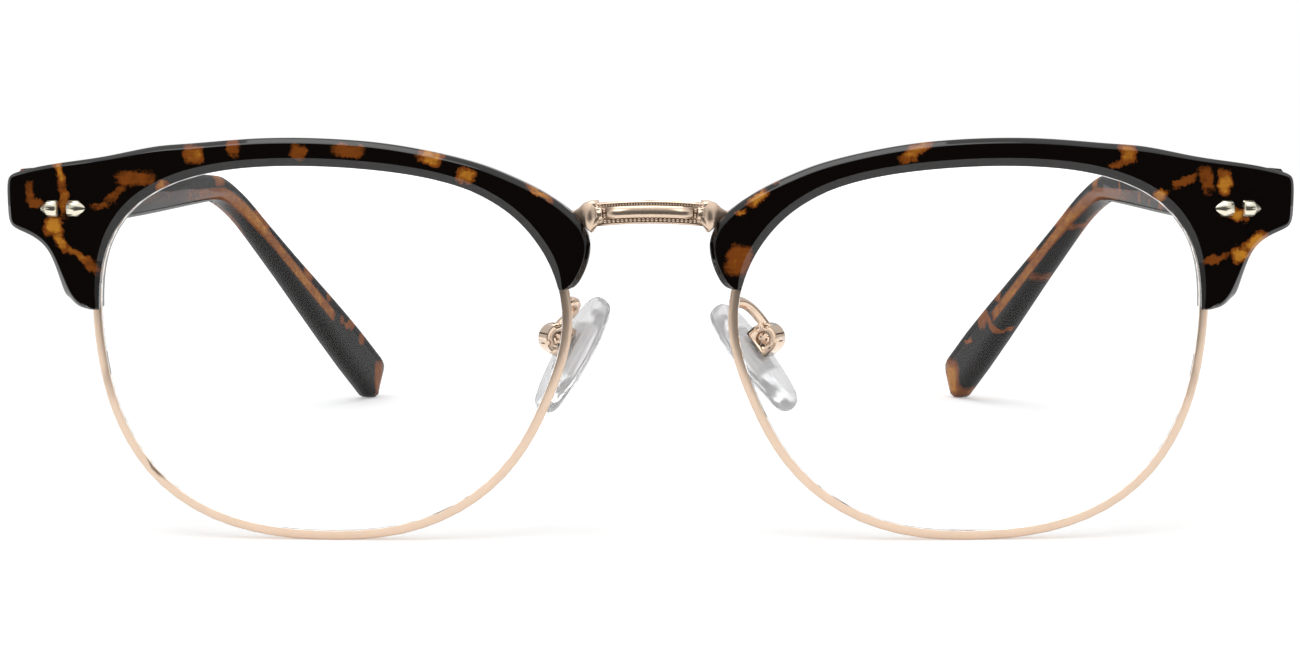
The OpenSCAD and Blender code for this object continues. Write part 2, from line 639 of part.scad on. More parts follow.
// Cross-section of the temple: a rounded bar, square to the path
function bar_ring(s, high, thick, round_by) =
  let (p = path_at(s), y = yaw(s), t = pitch(s), h = high / 2, w = thick / 2, r = round_by,
       across = [cos(y), sin(y), 0], up = [-sin(y) * sin(t), cos(y) * sin(t), cos(t)])
  [for (q = [[w, r - h], [w + 0, -h / 3], [w + 0, h / 3], [w, h - r], [w - r * 0.7, h - r * 0.15],
             [0, h], [r * 0.7 - w, h - r * 0.15], [-w, h - r], [-w, h / 3], [-w, -h / 3],
             [-w, r - h], [r * 0.7 - w, r * 0.15 - h], [0, -h], [w - r * 0.7, r * 0.15 - h]])
    p + across * q.x + up * q.y];
tip_rings = [[2.4, 1], [1.2, 0.93], [0.45, 0.78], [0.1, 0.55], [0, 0.3]];
function temple_rings(total) = concat(
  [for (s = [6, 11, 14, 22, 31, 40, 49, 58, 67, 74]) bar_ring(s, temple_high(s), temple_thick(s), 0.8)],
  [for (s = [temple_straight - 2 : 2.5 : temple_straight + arc_len + 4])
    bar_ring(s, temple_high(s), temple_thick(s), 0.8)],
  [for (k = [1 : 5]) let (from = temple_straight + arc_len + 5,
    s = from + (total - from - 3) * k / 5) bar_ring(s, temple_high(s), temple_thick(s), 0.8)],
  [for (e = tip_rings) let (s = total - e[0])
    bar_ring(s, temple_high(s) * e[1], temple_thick(s) * (0.25 + 0.75 * e[1]), 0.8 * e[1])]);
rough_low = min([for (ring = temple_rings(temple_rough), p = ring) p.z]);
temple_len = temple_rough + (hinge_z + rough_low) / sin(ear_drop);
function turned(p, a) = [p.x * cos(a) - p.y * sin(a), p.x * sin(a) + p.y * cos(a), p.z];
function tip_end_y() = max([for (ring = temple_rings(temple_len), p = ring) turned(p, lean_in).y]);

// Middle of the whole object from front to back
front_min = min([for (a = [30 : 5 : 160]) front_y(beside(a, 0))]);
mid_y = (front_min + hinge_y + tip_end_y()) / 2;

module temple() {
  // The front end is square to the brow's back face, a small gap behind it
  face = -axis_back + joint_gap;
  slant = end_angle - lean_in;
  first = [for (p = bar_ring(3, temple_h, temple_t, 0.8))
    [p.x, (face + p.x * sin(slant)) / cos(slant), p.z]];
  hinge_frame(lean_in) difference() {
    skin(concat([first], temple_rings(temple_len)));
    translate([inner_x - 1, -axis_back - 1, -barrel_h / 2 - swing_gap])
      cube([1 - inner_x + barrel_r + swing_gap, axis_back + 1 + leaf_y0 + seat_gap,
        barrel_h + 2 * swing_gap]);
    translate([inner_x - 1, leaf_y0 - 0.1, -leaf_h / 2 - seat_gap])
      cube([1 + leaf_sink, leaf_len + 0.1 + seat_gap, leaf_h + 2 * seat_gap]);
    for (y = pin_y) translate([inner_x, y, 0]) rotate([0, 90, 0])
      cylinder(h = leaf_sink + 0.6, r = shank_r + seat_gap);
    skin(core_rings(seat_gap));
  }
}
core_from = 14;
function core_rings(gap) =
  let (to = temple_len - 14, ear = temple_straight + arc_len,
       places = concat([core_from - gap, 25, 40, 55, 68], [for (s = [temple_straight - 4 : 3 : ear]) s],
         [ear + 5, to - 12, to - 1, to + gap]))
  [for (s = places)
    let (k = s > to - 0.5 ? 0.6 : 1) bar_ring(s, (core_h + 2 * gap) * k, (core_t + 2 * gap) * k, 0.2)];
module temple_core() {
  hinge_frame(lean_in) skin(core_rings(0));
}

// Nose pad pieces, drawn round the pad screw: Y along the screw, X away from the nose
pad_face = -(box_r - 0.3);
eye_r = 1.0;
eye_t = 1.0;
box_half = 1.25;
slot_h = 2 * eye_r + 0.6;
pad_y = front_y([pad_out_right - lens_x, 0]) + rim_set + rim_depth / 2 + 5;
function pad_lean(out) = out == pad_out_left ? pad_lean_left : pad_lean_right;
module pad_frame(out) {
  translate([out, pad_y, lens_z + pad_rise]) rotate([0, 0, -pad_splay])
    rotate([0, -pad_lean(out), 0]) children();
}
function pad_turned(p, lean) =
  let (x = p.x * cos(lean) - p.z * sin(lean), z = p.x * sin(lean) + p.z * cos(lean))
  [x * cos(pad_splay) + p.y * sin(pad_splay), p.y * cos(pad_splay) - x * sin(pad_splay), z];

// Pad arm: from the back of the rim, back in a loop, to the box
function arm_path(out) =
  let (root = in_front(beside(arm_at, rim_out - rim_face / 2),
         rim_set + rim_depth / 2 + seat_gap + 0.7 * arm_r),
       box = [out, pad_y, lens_z + pad_rise] + pad_turned([0.7, 0, 0.5], pad_lean(out)),
       bend = root + [(out - 11.8) * 1.6, 2.8, 0.3])
  [for (i = [0 : 12])
    let (t = i / 12) (1 - t) * (1 - t) * root + 2 * t * (1 - t) * bend + t * t * box];
function tube_rings(path, r) =
  [for (i = [0 : len(path) - 1])
    let (d0 = path[min(i + 1, len(path) - 1)] - path[max(i - 1, 0)], d = d0 / norm(d0),
         u0 = cross(d, [0, 0, 1]), u = u0 / norm(u0), v = cross(d, u))
    [for (k = [0 : 7]) path[i] + r * (cos(45 * k) * u - sin(45 * k) * v)]];
module pad_arm(out) {
  difference() {
    union() {
      skin(tube_rings(arm_path(out), arm_r));
      pad_frame(out) difference() {
        union() {
          rotate([90, 0, 0]) cylinder(h = 2 * box_half, r = box_r, center = true);
          translate([pad_face + 0.3, -box_half, -box_r])
            cube([-pad_face - 0.3, 2 * box_half, 2 * box_r]);
        }
        translate([-5 + pad_face + 0.3, -5, -5]) cube([5, 10, 10]);
      }
    }
    pad_frame(out) {
      translate([eye_r + 0.2 - 5, -eye_t / 2 - pin_gap, -slot_h / 2])
        cube([5, eye_t + 2 * pin_gap, slot_h]);
      rotate([90, 0, 0]) cylinder(h = 4 * box_half, r = pad_screw_r + pin_gap, center = true);
      translate([0, -box_half - 0.6, 0]) rotate([90, 0, 0])
        cylinder(h = 2, r = pad_head_r + pin_gap, center = true);
    }
  }
}
pad_head_r = pad_screw_r + 0.35;
module pad_screw(out) {
  pad_frame(out) difference() {
    union() {
      rotate([90, 0, 0]) cylinder(h = 2 * box_half - 0.1, r = pad_screw_r, center = true);
      translate([0, -box_half + 0.2, 0]) rotate([90, 0, 0])
        cylinder(h = 0.3, r = pad_head_r, center = true);
    }
    translate([-2, -box_half - 0.9, -0.12]) cube([4, 1, 0.24]);
  }
}

// Insert: an eye on the screw and a plate inside the pad
plate_t = 0.8;
plate_h = 6;
plate_w = 3;
module core_solid(gap) {
  x = pad_face - pad_t / 2 - plate_t / 2;
  translate([x - gap, -plate_w / 2 - gap, -plate_h / 2 - gap])
    cube([plate_t + 2 * gap, plate_w + 2 * gap, plate_h + 2 * gap]);
  translate([x, -eye_t / 2 - gap, -eye_r - gap]) cube([-x, eye_t + 2 * gap, 2 * (eye_r + gap)]);
}
module pad_core(out) {
  pad_frame(out) difference() {
    union() {
      core_solid(0);
      rotate([90, 0, 0]) cylinder(h = eye_t, r = eye_r, center = true);
    }
    rotate([90, 0, 0]) cylinder(h = 4, r = pad_screw_r + pin_gap, center = true);
  }
}
pad_drop = 0.7;       // the pad hangs a little below its screw
pad_ring_rows = [[0, 0.62], [0.2, 0.9], [0.5, 1], [0.8, 0.92], [1, 0.66]];
module nose_pad(out) {
  rings = [for (row = pad_ring_rows)
    [for (i = [0 : 23])
      let (a = i * 15, n = 1 + 0.1 * sin(a))
      [pad_face - pad_t * (1 - row[0]), -cos(a) * row[1] * n * pad_w / 2,
       sin(a) * (pad_len / 2 - (1 - row[1]) * 1.8) - pad_drop]]];
  pad_frame(out) difference() {
    skin(rings);
    core_solid(seat_gap);
  }
}

module left_brow() { color(TORTOISE) side(true) brow(); }
module right_brow() { color(TORTOISE) side(false) brow(); }
module left_eyewire() { color(GOLD) side(true) eyewire(); }
module right_eyewire() { color(GOLD) side(false) eyewire(); }
module left_lens() { color(CLEAR) side(true) lens(); }
module right_lens() { color(CLEAR) side(false) lens(); }
module left_rim_screw() { color(GOLD) side(true) rim_screw(); }
module right_rim_screw() { color(GOLD) side(false) rim_screw(); }
module left_brow_screw() { color(GOLD) side(true) brow_screw(); }
module right_brow_screw() { color(GOLD) side(false) brow_screw(); }
module left_pad_arm() { color(GOLD) side(true) pad_arm(pad_out_left); }
module right_pad_arm() { color(GOLD) side(false) pad_arm(pad_out_right); }
module left_nose_pad() { color(CLEAR) side(true) nose_pad(pad_out_left); }
module right_nose_pad() { color(CLEAR) side(false) nose_pad(pad_out_right); }
module left_pad_core() { color(CLEAR) side(true) pad_core(pad_out_left); }
module right_pad_core() { color(CLEAR) side(false) pad_core(pad_out_right); }
module left_pad_screw() { color(GOLD) side(true) pad_screw(pad_out_left); }
module right_pad_screw() { color(GOLD) side(false) pad_screw(pad_out_right); }
module left_front_rivets() { color(PALE_GOLD) side(true) front_rivets(); }
module right_front_rivets() { color(PALE_GOLD) side(false) front_rivets(); }
module left_front_hinge() { color(GOLD) side(true) front_hinge(); }
module right_front_hinge() { color(GOLD) side(false) front_hinge(); }
module left_temple_hinge() { color(GOLD) side(true) temple_hinge(); }
module right_temple_hinge() { color(GOLD) side(false) temple_hinge(); }
module left_hinge_screw() { color(GOLD) side(true) hinge_screw(); }
module right_hinge_screw() { color(GOLD) side(false) hinge_screw(); }
module left_temple_pins() { color(GOLD) side(true) temple_pins(); }
module right_temple_pins() { color(GOLD) side(false) temple_pins(); }
module left_temple() { color(TORTOISE) side(true) temple(); }
module right_temple() { color(TORTOISE) side(false) temple(); }
module left_temple_core() { color(GOLD) side(true) temple_core(); }
module right_temple_core() { color(GOLD) side(false) temple_core(); }

left_brow();
right_brow();
left_eyewire();
right_eyewire();
left_lens();
right_lens();
left_rim_screw();
right_rim_screw();
bridge();
left_brow_screw();
right_brow_screw();
left_pad_arm();
right_pad_arm();
left_nose_pad();
right_nose_pad();
left_pad_core();
right_pad_core();
left_pad_screw();
right_pad_screw();
left_front_rivets();
right_front_rivets();
left_front_hinge();
right_front_hinge();
left_temple_hinge();
right_temple_hinge();
left_hinge_screw();
right_hinge_screw();
left_temple_pins();
right_temple_pins();
left_temple();
right_temple();
left_temple_core();
right_temple_core();
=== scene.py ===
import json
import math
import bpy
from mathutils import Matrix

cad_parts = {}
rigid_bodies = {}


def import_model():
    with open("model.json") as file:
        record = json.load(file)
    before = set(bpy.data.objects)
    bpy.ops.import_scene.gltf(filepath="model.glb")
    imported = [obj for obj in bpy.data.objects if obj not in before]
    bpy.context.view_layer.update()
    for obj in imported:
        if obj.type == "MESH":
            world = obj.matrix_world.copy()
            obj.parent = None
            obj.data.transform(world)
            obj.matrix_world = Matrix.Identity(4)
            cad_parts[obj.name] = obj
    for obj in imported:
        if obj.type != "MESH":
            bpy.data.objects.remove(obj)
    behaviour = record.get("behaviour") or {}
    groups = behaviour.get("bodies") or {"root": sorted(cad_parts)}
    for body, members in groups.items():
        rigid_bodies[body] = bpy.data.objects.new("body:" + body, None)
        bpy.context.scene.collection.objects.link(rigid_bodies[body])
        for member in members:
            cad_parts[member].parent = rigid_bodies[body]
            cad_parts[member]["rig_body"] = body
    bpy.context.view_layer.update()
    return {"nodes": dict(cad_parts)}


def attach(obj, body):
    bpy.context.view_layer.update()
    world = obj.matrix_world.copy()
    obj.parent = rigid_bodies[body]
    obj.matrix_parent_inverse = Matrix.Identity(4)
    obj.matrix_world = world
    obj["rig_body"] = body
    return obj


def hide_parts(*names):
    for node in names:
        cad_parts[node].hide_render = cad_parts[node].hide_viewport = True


bl_info = {
    "name": "Browline Glasses",
    "version": (1, 0, 0),
    "blender": (4, 5, 0),
    "location": "View3D > Sidebar > Glasses",
    "description": "Finishes a pair of browline glasses and builds the stage they stand on",
    "category": "Object",
}

import bpy
from mathutils import Vector

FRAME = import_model()
SIDES = ("left", "right")
MM = 0.001

# The curve of the front, in millimetres: middle of a lens, half its width, radius and turn.
# Past the lens the end piece runs on straight, and its curve up and down fades over END_OVER.
LENS_X, LENS_Z, LENS_SIDE = 34.85, 21.32, 25.6
FRONT_R, FRONT_TURN, END_OVER = 130.0, math.tan(math.radians(3)), 5.0
# A face lies on the front or back where the cosine of its angle to the curve is over this
ON_FRONT = 0.88

# Where the temple bends down behind the ear, in millimetres: hinge, start of the bend and its radius
HINGE_Y, HINGE_Z = -67.5, 37.1
BEND_Y, BEND_R, DROP = 15.0, 34.0, math.radians(32.5)

# The core wire's glow in a temple, in millimetres: how far it lies below the middle line, its half
# width where it is full and where it ends, and where it begins and stops along the temple
CORE_BELOW, CORE_FULL, CORE_EDGE = 0.75, 0.55, 1.15
CORE_BEGINS, CORE_STOPS = (60.0, 95.0), (130.5, 132.0)

# Points closer than this are joined
JOINED = 0.002 * MM
# An edge stays sharp where the cosine between its faces is under the first, and its share of
# front to back is under the second
CREASE_TURN, CREASE_ACROSS = 0.95, 0.4
# Two triangles become one face where they are this near to flat and to square, in radians
QUAD_FLAT, QUAD_SQUARE = 0.12, 0.9

# An amber place is whole up to this share of its reach, and gone at the other
AMBER_WHOLE, AMBER_GONE = 0.4, 1.3
# Middle of the brows from front to back, a reach right through them, and one through both temples
BROW_Y, THROUGH_BROW, THROUGH_TEMPLES = -76, 40, 200
# How far the outline of an amber place wanders, in millimetres
AMBER_WANDER = 2.2

# Recesses narrower than this get painted shade, which is the metal's colour to a power, times a share
PAINTED_SHADE_REACH, PAINTED_SHADE_POWER, PAINTED_SHADE_SHARE = 0.4 * MM, 1.6, 0.42
# Depth of the fine lines in satin metal
SATIN_DEPTH = 0.02 * MM

# The camera that fits the photo: lens and sensor width in millimetres, shifts, side and tilt
LENS_LENGTH, SENSOR_WIDTH = 64.04, 36
SHIFT_X, SHIFT_Y = -0.0292, 0.0770
CAMERA_X, LOOKS_DOWN = 0.0041, math.radians(6.61)
# The floor's front edge, and the glow that brings what is seen of it up to white
FLOOR_FRONT, FLOOR_GLOW = -0.15, 0.36
# Light from the room, and how dark its unlit side is in reflections
ROOM_LIGHT, UNLIT = 0.62, 0.03

# Amber places in the plastic: middle x and z, half width, half height, turn in degrees, strength.
# They are in millimetres, seen from the front.
RIGHT_BROW_AMBER = [
    (-64.4, 40.0, 0.55, 1.5, 14, 0.85),
    (-64.0, 37.0, 0.6, 1.9, 8, 0.72),
    (-65.2, 34.2, 1.1, 1.2, 0, 1.0),
    (-64.4, 32.6, 0.6, 1.2, 38, 0.85),
    (-62.4, 31.2, 2.0, 0.45, -38, 0.7),
    (-60.7, 29.9, 1.3, 0.6, -40, 0.4),
    (-67.9, 37.7, 0.7, 1.3, 0, 0.4),
    (-67.3, 36.8, 1.2, 0.6, 0, 0.45),
    (-55.8, 39.5, 2.4, 0.9, 4, 0.42),
    (-57.9, 37.7, 1.9, 0.6, 42, 0.34),
    (-59.8, 36.4, 1.2, 0.4, 6, 0.36),
    (-52.8, 38.6, 0.8, 0.5, 22, 0.8),
    (-49.1, 42.0, 1.2, 1.1, -6, 0.7),
    (-44.8, 42.9, 0.7, 1.2, 0, 0.5),
    (-37.7, 42.2, 1.0, 0.9, -20, 0.46),
    (-32.4, 42.4, 1.8, 0.8, -4, 0.52),
    (-23.5, 41.7, 1.4, 0.8, -25, 0.88),
    (-19.6, 39.8, 0.9, 0.9, -30, 0.85),
    (-11.9, 37.9, 1.9, 0.35, -32, 0.8),
]
LEFT_BROW_AMBER = [
    (51.6, 42.1, 1.0, 1.4, 0, 0.8),
    (50.3, 41.0, 0.8, 0.4, 12, 0.45),
    (57.9, 39.1, 2.0, 0.5, 28, 0.5),
    (60.4, 39.2, 0.8, 1.5, 14, 0.45),
    (62.4, 38.9, 0.8, 1.4, 0, 0.88),
    (63.7, 35.6, 1.5, 0.8, -14, 1.0),
    (66.2, 32.4, 1.6, 0.9, 42, 0.97),
    (64.4, 31.2, 1.2, 0.9, 30, 1.0),
    (61.5, 30.7, 1.6, 0.5, 12, 0.5),
    (55.3, 37.6, 0.7, 0.5, -28, 0.85),
    (28.4, 42.4, 2.0, 0.7, 30, 0.8),
    (11.6, 37.3, 1.5, 0.6, 38, 0.92),
    (9.8, 35.8, 0.6, 0.4, 30, 0.8),
    (9.6, 30.7, 1.5, 1.8, -14, 0.55),
    (13.8, 39.2, 0.9, 0.3, 34, 0.6),
]
# Amber places in the temples: middle y and z, half length, half height, strength
RIGHT_TEMPLE_AMBER = [
    (15.0, 38.6, 3.4, 1.3, 0.72),
    (35.0, 31.2, 1.2, 1.0, 0.6),
    (48.8, 22.9, 1.8, 1.5, 0.7),
    (56.0, 18.9, 1.0, 1.2, 0.55),
    (60.8, 14.6, 0.9, 1.0, 0.35),
    (68.2, 10.8, 1.3, 1.2, 0.5),
    (75.0, 3.4, 2.0, 3.2, 0.62),
]
LEFT_TEMPLE_AMBER = [
    (18.8, 38.2, 2.2, 1.4, 0.75),
    (33.6, 32.4, 3.6, 2.0, 0.72),
    (43.6, 26.4, 2.2, 1.5, 0.7),
    (56.0, 18.9, 1.2, 1.2, 0.7),
    (43.0, 22.6, 2.0, 1.0, 0.3),
    (-11.0, 36.2, 1.2, 1.0, 0.4),
    (-24.0, 36.2, 1.8, 1.6, 0.6),
    (74.4, 3.2, 3.6, 3.6, 0.85),
]


# Sizes and colours


class GLASSES_Sizes(bpy.types.PropertyGroup):
    pad_grain: bpy.props.FloatProperty(
        name="Pad fineness", description="Size of the small faces of a nose pad", default=0.2 * MM,
        min=0.1 * MM, max=0.5 * MM, subtype="DISTANCE", unit="LENGTH", precision=5)
    amber_size: bpy.props.FloatProperty(
        name="Amber fleck size", description="Size of the amber flecks in the temples",
        default=5.5 * MM, min=2 * MM, max=12 * MM, subtype="DISTANCE", unit="LENGTH", precision=5)
    camera_height: bpy.props.FloatProperty(
        name="Camera height", description="Height of the lens above the floor",
        default=0.0417, min=0.01, max=1, subtype="DISTANCE", unit="LENGTH", precision=4)
    camera_back: bpy.props.FloatProperty(
        name="Camera distance", description="How far the lens stands in front of the middle",
        default=0.3274, min=0.1, max=3, subtype="DISTANCE", unit="LENGTH", precision=4)
    floor_size: bpy.props.FloatProperty(
        name="Floor size", description="Length of the floor behind the glasses",
        default=2.5, min=0.5, max=10, subtype="DISTANCE", unit="LENGTH")


class GLASSES_Colours(bpy.types.PropertyGroup):
    dark: bpy.props.FloatVectorProperty(
        name="Tortoise dark", description="Darkest brown of the plastic", subtype="COLOR",
        size=4, min=0, max=1, default=(0.0035, 0.0020, 0.0014, 1))
    brown: bpy.props.FloatVectorProperty(
        name="Tortoise brown", description="Brown at the edge of an amber fleck", subtype="COLOR",
        size=4, min=0, max=1, default=(0.24, 0.062, 0.008, 1))
    amber: bpy.props.FloatVectorProperty(
        name="Tortoise amber", description="Lightest amber of the plastic", subtype="COLOR",
        size=4, min=0, max=1, default=(0.70, 0.29, 0.03, 1))
    rose_gold: bpy.props.FloatVectorProperty(
        name="Rose gold", description="Rims, bridge and pad arms", subtype="COLOR",
        size=4, min=0, max=1, default=(0.90, 0.69, 0.53, 1))
    pale_gold: bpy.props.FloatVectorProperty(
        name="Pale gold", description="Rivet heads", subtype="COLOR",
        size=4, min=0, max=1, default=(0.86, 0.79, 0.60, 1))
    silicone: bpy.props.FloatVectorProperty(
        name="Silicone", description="Nose pads", subtype="COLOR",
        size=4, min=0, max=1, default=(0.92, 0.92, 0.93, 1))
    floor: bpy.props.FloatVectorProperty(
        name="Floor", description="Floor and backdrop", subtype="COLOR",
        size=4, min=0, max=1, default=(0.85, 0.85, 0.85, 1))


def sizes():
    return bpy.context.scene.glasses_sizes


def colours():
    return bpy.context.scene.glasses_colours


# Shader helpers


def feed(tree, socket, value):
    """Links an input to a socket, or sets it to a value."""
    if isinstance(value, bpy.types.NodeSocket):
        tree.links.new(value, socket)
    else:
        socket.default_value = value


def wire(tree, kind, inputs=None, **settings):
    """A new node with its settings and inputs."""
    node = tree.nodes.new(kind)
    for name, value in settings.items():
        setattr(node, name, value)
    for key, value in (inputs or {}).items():
        feed(tree, node.inputs[key], value)
    return node


def calc(tree, operation, a, b=0.0, c=0.0, clamp=False):
    return wire(tree, "ShaderNodeMath", {0: a, 1: b, 2: c}, operation=operation,
                use_clamp=clamp).outputs[0]


def vector_calc(tree, operation, a, b, c=(0, 0, 0)):
    return wire(tree, "ShaderNodeVectorMath", {0: a, 1: b, 2: c}, operation=operation).outputs


def scale_vector(tree, vector, scale):
    return wire(tree, "ShaderNodeVectorMath", {0: vector, "Scale": scale},
                operation="SCALE").outputs[0]


def noise(tree, at, scale, detail, roughness=0.5, distortion=0.0):
    return wire(tree, "ShaderNodeTexNoise", {"Vector": at, "Scale": scale, "Detail": detail,
                "Roughness": roughness, "Distortion": distortion}).outputs


def sway(tree, value, swing, base):
    """The base, moved by a noise value to half a swing either side."""
    return calc(tree, "MULTIPLY_ADD", calc(tree, "SUBTRACT", value, 0.5), swing, base)


def ramp(tree, value, start, end, low=0.0, high=1.0, smooth=True):
    """Goes from low to high while the value goes from start to end."""
    return wire(tree, "ShaderNodeMapRange", {"Value": value, "From Min": start, "From Max": end,
                "To Min": low, "To Max": high},
                interpolation_type="SMOOTHSTEP" if smooth else "LINEAR").outputs[0]


def blend_colours(tree, factor, a, b):
    return wire(tree, "ShaderNodeMix", {0: factor, 6: a, 7: b}, data_type="RGBA").outputs[2]


def shaded(colour, share):
    return tuple(share * part for part in colour[:3]) + (1,)


def new_group(name, inputs, outputs):
    tree = bpy.data.node_groups.new(name, "ShaderNodeTree")
    for label, kind, value in inputs:
        socket = tree.interface.new_socket(name=label, in_out="INPUT", socket_type=kind)
        if value is not None:
            socket.default_value = value
    for label, kind in outputs:
        tree.interface.new_socket(name=label, in_out="OUTPUT", socket_type=kind)
    return tree, tree.nodes.new("NodeGroupInput").outputs, tree.nodes.new("NodeGroupOutput").inputs


def use_group(tree, name, inputs):
    return wire(tree, "ShaderNodeGroup", inputs, node_tree=bpy.data.node_groups[name]).outputs


# Shared patterns


def make_amber_place():
    """Mask of one amber place: a turned block with round corners, seen from the front."""
    tree, start, end = new_group("Amber Place", [
        ("Vector", "NodeSocketVector", None), ("Middle", "NodeSocketVector", None),
        ("Reach", "NodeSocketVector", (1, 30, 1)), ("Turn", "NodeSocketFloat", 0.0),
        ("Strength", "NodeSocketFloat", 1.0)], [("Mask", "NodeSocketFloat")])
    away = vector_calc(tree, "SUBTRACT", start["Vector"], start["Middle"])[0]
    turned = wire(tree, "ShaderNodeVectorRotate", {"Vector": away, "Angle": start["Turn"]},
                  rotation_type="Y_AXIS").outputs[0]
    share = vector_calc(tree, "DIVIDE", turned, start["Reach"])[0]
    square = vector_calc(tree, "MULTIPLY", share, share)[0]
    fourth = vector_calc(tree, "DOT_PRODUCT", square, square)["Value"]
    reach = calc(tree, "POWER", fourth, 0.25)
    edge = ramp(tree, reach, AMBER_WHOLE, AMBER_GONE, low=1.0, high=0.0)
    tree.links.new(calc(tree, "MULTIPLY", edge, start["Strength"]), end["Mask"])


def make_plastic_depth():
    """Colour of the tortoise plastic from how much amber lies under the surface."""
    tree, start, end = new_group("Tortoise Plastic", [
        ("Vector", "NodeSocketVector", None), ("Amber", "NodeSocketFloat", 0.0),
        ("Dark", "NodeSocketColor", None), ("Brown", "NodeSocketColor", None),
        ("Light", "NodeSocketColor", None)],
        [("Color", "NodeSocketColor"), ("Roughness", "NodeSocketFloat")])
    cloud = noise(tree, start["Vector"], scale=0.9, detail=4.0, roughness=0.6, distortion=0.5)[0]
    streak_at = wire(tree, "ShaderNodeMapping", {"Vector": start["Vector"], "Scale": (0.4, 0.4, 3.2),
                     "Rotation": (0, 0.12, 0)}).outputs[0]
    streak = noise(tree, streak_at, scale=1.0, detail=3.0)[0]
    mottled = sway(tree, cloud, swing=0.5, base=start["Amber"])
    lined = sway(tree, streak, swing=0.35, base=mottled)
    # Clouds and streaks stay inside the amber, so that the dark plastic is even
    inside = calc(tree, "MULTIPLY", start["Amber"], 6.0, clamp=True)
    kept = calc(tree, "MULTIPLY", lined, inside, clamp=True)
    to_brown = ramp(tree, kept, start=0.08, end=0.5)
    to_amber = ramp(tree, kept, start=0.55, end=1.1)
    brown = blend_colours(tree, to_brown, start["Dark"], start["Brown"])
    tree.links.new(blend_colours(tree, to_amber, brown, start["Light"]), end["Color"])
    fine = noise(tree, start["Vector"], scale=2.5, detail=2.0)[0]
    tree.links.new(sway(tree, fine, swing=0.10, base=0.25), end["Roughness"])


def make_handling():
    """Fine polishing lines and slight wear, as a change of roughness and a height."""
    tree, start, end = new_group("Handling Marks", [
        ("Vector", "NodeSocketVector", None), ("Fineness", "NodeSocketFloat", 1.0),
        ("Base", "NodeSocketFloat", 0.2), ("Spread", "NodeSocketFloat", 0.1)],
        [("Roughness", "NodeSocketFloat"), ("Height", "NodeSocketFloat")])
    broad = noise(tree, start["Vector"], scale=0.35, detail=3.0)[0]
    finer_at = scale_vector(tree, start["Vector"], start["Fineness"])
    fine = noise(tree, finer_at, scale=6.0, detail=2.0, distortion=1.5)[0]
    mixed = calc(tree, "MULTIPLY_ADD", fine, 0.4, calc(tree, "MULTIPLY", broad, 0.6))
    tree.links.new(sway(tree, mixed, start["Spread"], start["Base"]), end["Roughness"])
    tree.links.new(fine, end["Height"])


# Materials


def start_material(name):
    """A new material's nodes, its shader, and the object's coordinates in millimetres."""
    material = bpy.data.materials.new(name)
    material.use_nodes = True
    tree = material.node_tree
    place = tree.nodes.new("ShaderNodeTexCoord").outputs["Object"]
    return tree, tree.nodes["Principled BSDF"].inputs, scale_vector(tree, place, 1 / MM)


def finish_plastic(tree, shader, inmm, amber, gloss):
    tint = colours()
    out = use_group(tree, "Tortoise Plastic", {"Vector": inmm, "Amber": amber,
                    "Dark": tint.dark, "Brown": tint.brown, "Light": tint.amber})
    tree.links.new(out["Color"], shader["Base Color"])
    tree.links.new(out["Roughness"], shader["Roughness"])
    shader["IOR"].default_value = 1.49
    shader["Coat Weight"].default_value = gloss
    shader["Coat Roughness"].default_value = 0.03
    shader["Specular IOR Level"].default_value = 0.0


def brow_plastic(side):
    tree, shader, inmm = start_material("tortoise_brow_" + side)
    rough = noise(tree, inmm, scale=0.6, detail=5.0, roughness=0.75)["Color"]
    centred = vector_calc(tree, "SUBTRACT", rough, (0.5, 0.5, 0.5))[0]
    ragged = vector_calc(tree, "MULTIPLY_ADD", centred, (AMBER_WANDER, 0, AMBER_WANDER), inmm)[0]
    amber = 0.0
    places = RIGHT_BROW_AMBER if side == "right" else LEFT_BROW_AMBER
    for x, z, wide, high, turn, strength in places:
        mask = use_group(tree, "Amber Place", {
            "Vector": ragged, "Middle": (x, BROW_Y, z), "Reach": (wide, THROUGH_BROW, high),
            "Turn": math.radians(turn), "Strength": strength})["Mask"]
        amber = calc(tree, "MAXIMUM", mask, amber)
    finish_plastic(tree, shader, inmm, amber, gloss=1.0)


